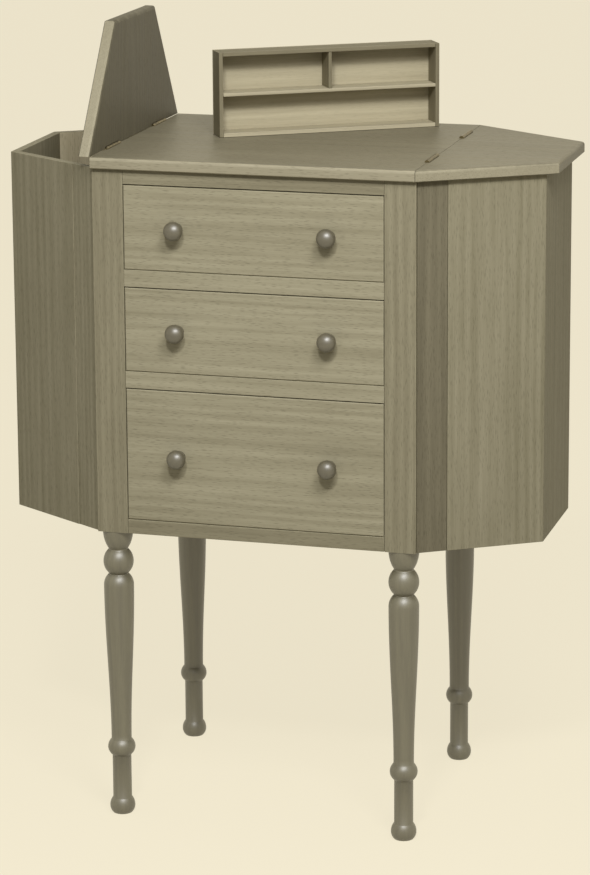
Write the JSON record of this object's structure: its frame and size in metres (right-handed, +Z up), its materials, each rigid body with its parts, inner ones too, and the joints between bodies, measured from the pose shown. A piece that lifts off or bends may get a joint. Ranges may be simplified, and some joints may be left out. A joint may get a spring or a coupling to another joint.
{
  "type": "sewing cabinet",
  "caption": "Small wooden sewing cabinet on turned legs, with flush drawers between the posts, a hinge-lidded pocket with slanted walls at each end, and a loose spool tray standing on top.",
  "frame": {"origin": "on the floor, under the middle of the whole cabinet's box with its left lid open as in the picture", "axes": "+X to the right as seen from the front, +Y towards the back, +Z up; the drawers open towards -Y"},
  "size_m": [0.6056, 0.3258, 0.8664],
  "materials": {
    "stained_wood": "stained and shellacked hardwood, satin",
    "dark_wood": "darker stained hardwood, satin",
    "pale_wood": "plain softwood, thinly sealed",
    "polished_wood": "turned and polished hardwood",
    "brass": "plain brass, a little dull"
  },
  "bodies": {
    "cabinet": {"leg_front_left": "stained_wood", "leg_front_right": "stained_wood", "leg_back_left": "stained_wood", "leg_back_right": "stained_wood", "top_board": "stained_wood", "top_rail": "stained_wood", "upper_divider": "stained_wood", "lower_divider": "stained_wood", "bottom_board": "stained_wood", "back_panel": "pale_wood", "case_side_left": "pale_wood", "case_side_right": "pale_wood", "pocket_left_front_strip": "dark_wood", "pocket_left_front_panel": "stained_wood", "pocket_left_back_panel": "stained_wood", "pocket_left_end_panel": "stained_wood", "pocket_left_floor": "pale_wood", "pocket_right_front_strip": "dark_wood", "pocket_right_front_panel": "stained_wood", "pocket_right_back_panel": "stained_wood", "pocket_right_end_panel": "stained_wood", "pocket_right_floor": "pale_wood", "hinge_left_front_fixed_leaf": "brass", "hinge_left_back_fixed_leaf": "brass", "hinge_right_front_fixed_leaf": "brass", "hinge_right_back_fixed_leaf": "brass"},
    "left_lid": {"lid_left": "stained_wood", "hinge_left_front_moving_leaf": "brass", "hinge_left_back_moving_leaf": "brass"},
    "right_lid": {"lid_right": "stained_wood", "hinge_right_front_moving_leaf": "brass", "hinge_right_back_moving_leaf": "brass"},
    "drawer_1": {"drawer_1_front": "stained_wood", "drawer_1_left_side": "pale_wood", "drawer_1_right_side": "pale_wood", "drawer_1_back": "pale_wood", "drawer_1_floor": "pale_wood", "drawer_1_left_knob": "polished_wood", "drawer_1_right_knob": "polished_wood"},
    "drawer_2": {"drawer_2_front": "stained_wood", "drawer_2_left_side": "pale_wood", "drawer_2_right_side": "pale_wood", "drawer_2_back": "pale_wood", "drawer_2_floor": "pale_wood", "drawer_2_left_knob": "polished_wood", "drawer_2_right_knob": "polished_wood"},
    "drawer_3": {"drawer_3_front": "stained_wood", "drawer_3_left_side": "pale_wood", "drawer_3_right_side": "pale_wood", "drawer_3_back": "pale_wood", "drawer_3_floor": "pale_wood", "drawer_3_left_knob": "polished_wood", "drawer_3_right_knob": "polished_wood"},
    "tray": {"tray_floor": "pale_wood", "tray_left_end": "pale_wood", "tray_right_end": "pale_wood", "tray_lower_wall": "pale_wood", "tray_upper_wall": "pale_wood", "tray_long_divider": "pale_wood", "tray_cross_divider": "pale_wood"}
  },
  "joints": [
    {"name": "drawer_1_slide", "type": "slide", "parent": "cabinet", "child": "drawer_1", "axis": [0, -1, 0], "range_m": [0, 0.2]},
    {"name": "drawer_2_slide", "type": "slide", "parent": "cabinet", "child": "drawer_2", "axis": [0, -1, 0], "range_m": [0, 0.2]},
    {"name": "drawer_3_slide", "type": "slide", "parent": "cabinet", "child": "drawer_3", "axis": [0, -1, 0], "range_m": [0, 0.2]},
    {"name": "left_lid_hinge", "type": "hinge", "parent": "cabinet", "child": "left_lid", "pos_m": [-0.18293, 0.00745, 0.7331], "axis": [0, 1, 0], "range_deg": [-91, 9.5]},
    {"name": "right_lid_hinge", "type": "hinge", "parent": "cabinet", "child": "right_lid", "pos_m": [0.16967, 0.00745, 0.7331], "axis": [0, -1, 0], "range_deg": [0, 100.5]},
    {"name": "tray_lift", "type": "slide", "parent": "cabinet", "child": "tray", "axis": [0, 0, 1], "range_m": [0, 0.15]}
  ]
}
